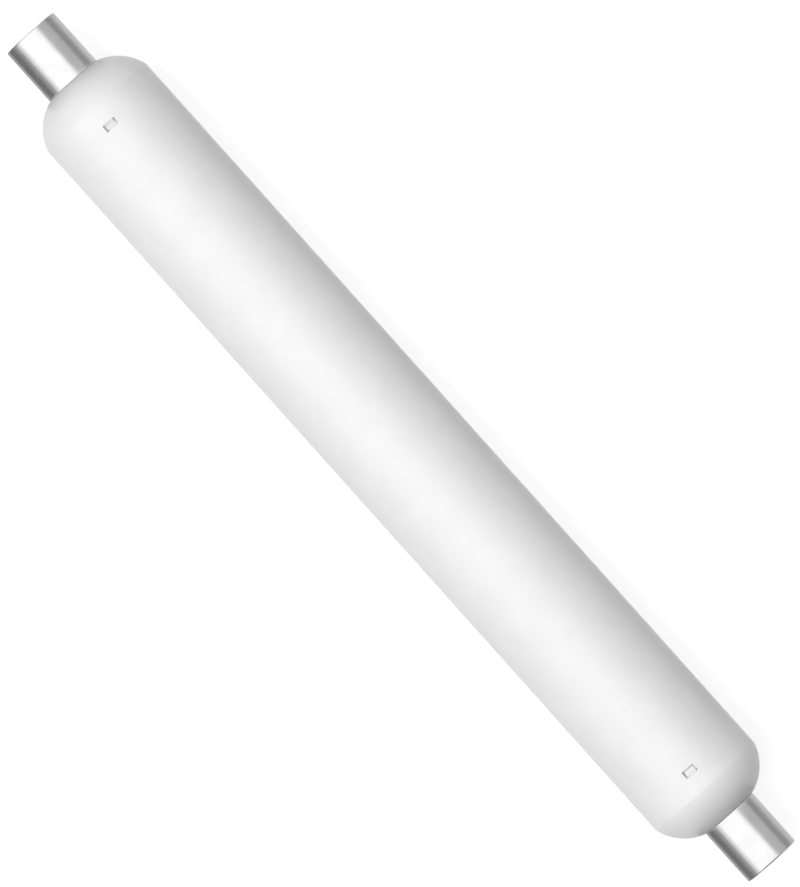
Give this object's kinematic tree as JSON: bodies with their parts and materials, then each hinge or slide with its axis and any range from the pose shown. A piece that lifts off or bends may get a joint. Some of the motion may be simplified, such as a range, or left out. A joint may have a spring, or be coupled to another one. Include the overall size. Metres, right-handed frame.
{
  "type": "tubular light bulb",
  "caption": "Straight opal tubular lamp with rounded shoulders and a plain metal push-in cap at each end, held between lamp holders.",
  "frame": {"origin": "middle of the lamp, on its axis", "axes": "+X along the lamp towards its right cap, +Z towards the side with the clip windows"},
  "size_m": [0.31, 0.0368, 0.0368],
  "materials": {
    "opal_plastic": "satin opal white moulding",
    "plated_metal": "bright nickel plate on drawn sheet",
    "solder": "dull tin solder"
  },
  "bodies": {
    "root": {"opal_tube": "opal_plastic", "left_end": "opal_plastic", "right_end": "opal_plastic", "left_cap": "plated_metal", "right_cap": "plated_metal", "left_contact": "solder", "right_contact": "solder"}
  },
  "joints": []
}
